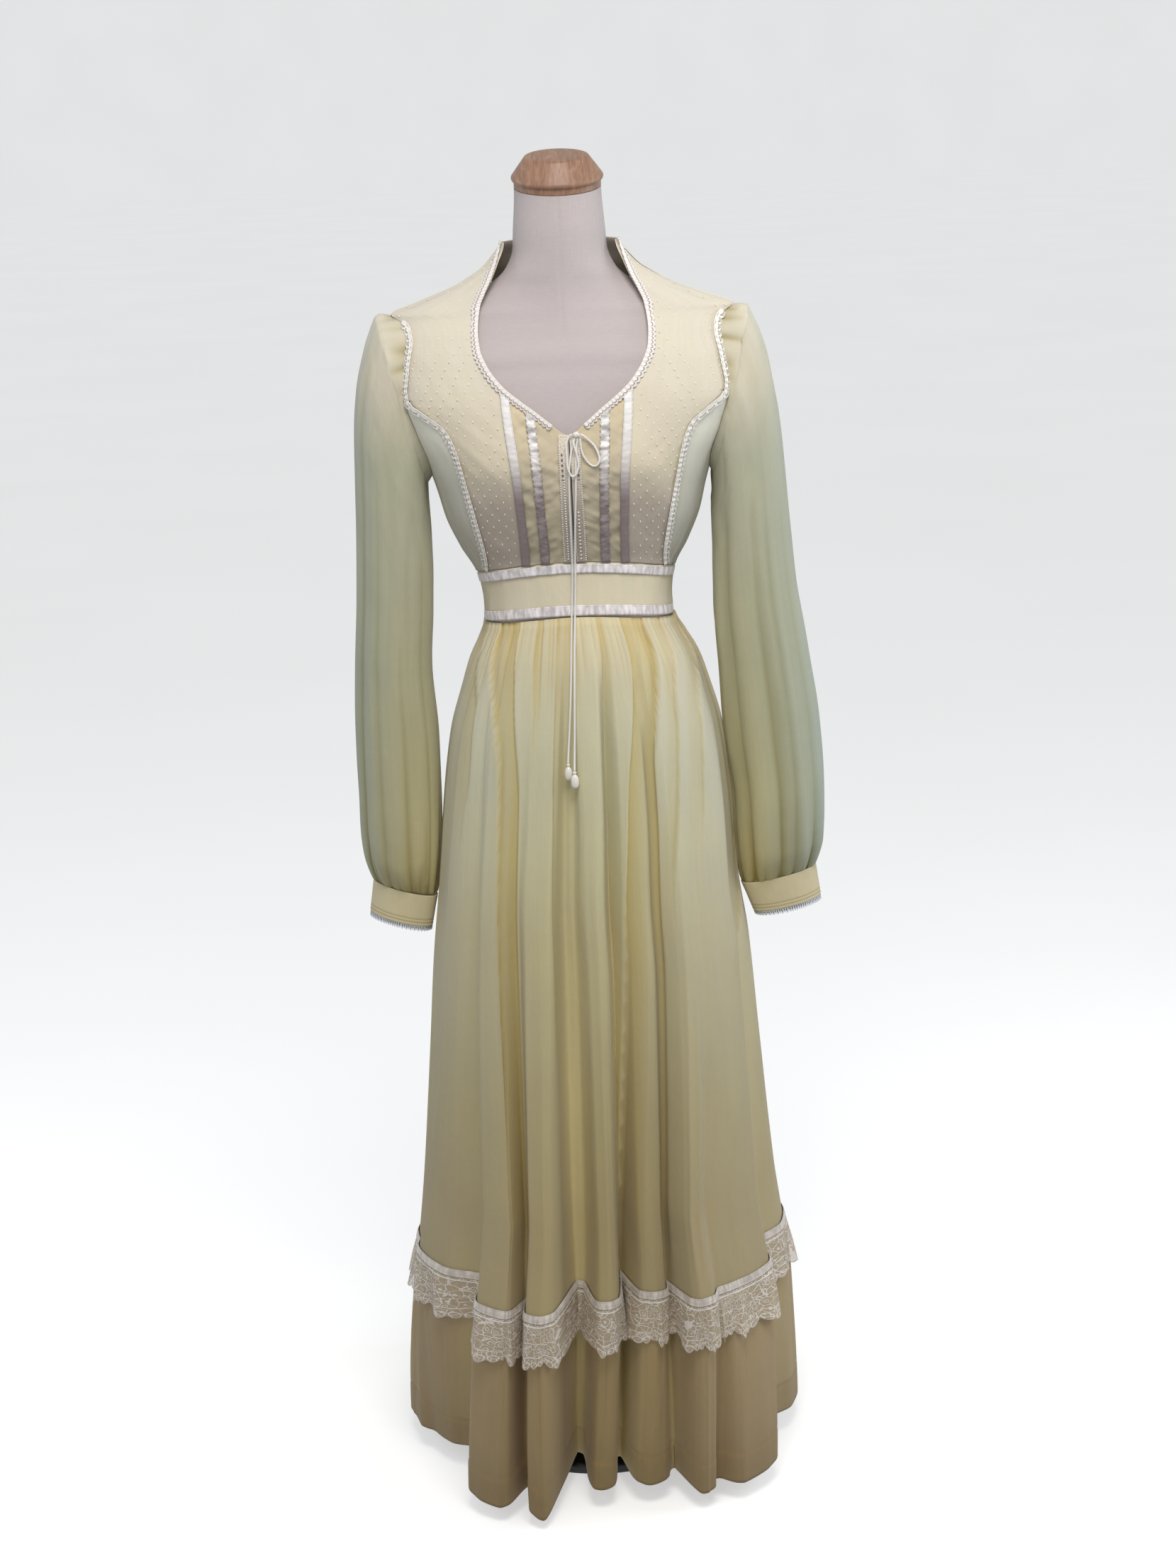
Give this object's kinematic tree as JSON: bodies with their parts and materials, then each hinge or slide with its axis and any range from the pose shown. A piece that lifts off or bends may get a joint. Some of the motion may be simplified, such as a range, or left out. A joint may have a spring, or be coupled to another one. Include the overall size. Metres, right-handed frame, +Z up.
{
  "type": "maxi dress on a dress form",
  "caption": "Long pale yellow gathered dress with bishop sleeves, ribbon and lace trims and a lace frill over its hem, worn on a limbless dress form on a pole and round base.",
  "frame": {"origin": "centre of the round base's underside, on the floor", "axes": "+Z up along the pole, -Y to the dress's front, +X to the right in the picture"},
  "size_m": [0.5396, 0.5233, 1.5264],
  "materials": {
    "linen": "matt linen weave",
    "voile": "pale yellow cotton voile",
    "dotted_voile": "pale yellow voile with small raised dots",
    "sleeve_voile": "sheer greenish yellow voile",
    "satin": "white satin ribbon",
    "lace": "white lace",
    "cord": "round white braid",
    "bead": "gloss white",
    "wood": "polished",
    "steel": "brushed",
    "black_metal": "satin black paint"
  },
  "bodies": {
    "root": {"bodice_back_left": "voile", "bodice_back_right": "voile", "bodice_front_left": "dotted_voile", "bodice_front_right": "dotted_voile", "bow_knot": "cord", "bow_loop_left": "cord", "bow_loop_right": "cord", "collar_back": "dotted_voile", "cord_left": "cord", "cord_right": "cord", "cord_tip_left": "bead", "cord_tip_right": "bead", "cuff_lace_left": "lace", "cuff_lace_right": "lace", "cuff_left": "voile", "cuff_right": "voile", "flounce_back": "voile", "flounce_front": "voile", "form_base": "black_metal", "form_neck_cap": "wood", "form_pole": "steel", "form_torso": "linen", "hem_lace_back": "lace", "hem_lace_front": "lace", "inset_left": "voile", "inset_right": "voile", "lace_heading_back": "satin", "lace_heading_front": "satin", "midriff_back": "voile", "midriff_front": "voile", "neck_lace_left": "lace", "neck_lace_right": "lace", "placket_tape_left": "lace", "placket_tape_right": "lace", "ribbon_inner_left": "satin", "ribbon_inner_right": "satin", "ribbon_outer_left": "satin", "ribbon_outer_right": "satin", "ribbon_waist_lower": "satin", "ribbon_waist_upper": "satin", "side_front_left": "sleeve_voile", "side_front_right": "sleeve_voile", "skirt_back_left": "voile", "skirt_back_right": "voile", "skirt_front": "voile", "sleeve_left": "sleeve_voile", "sleeve_right": "sleeve_voile", "yoke_lace_left": "lace", "yoke_lace_right": "lace"}
  },
  "joints": []
}
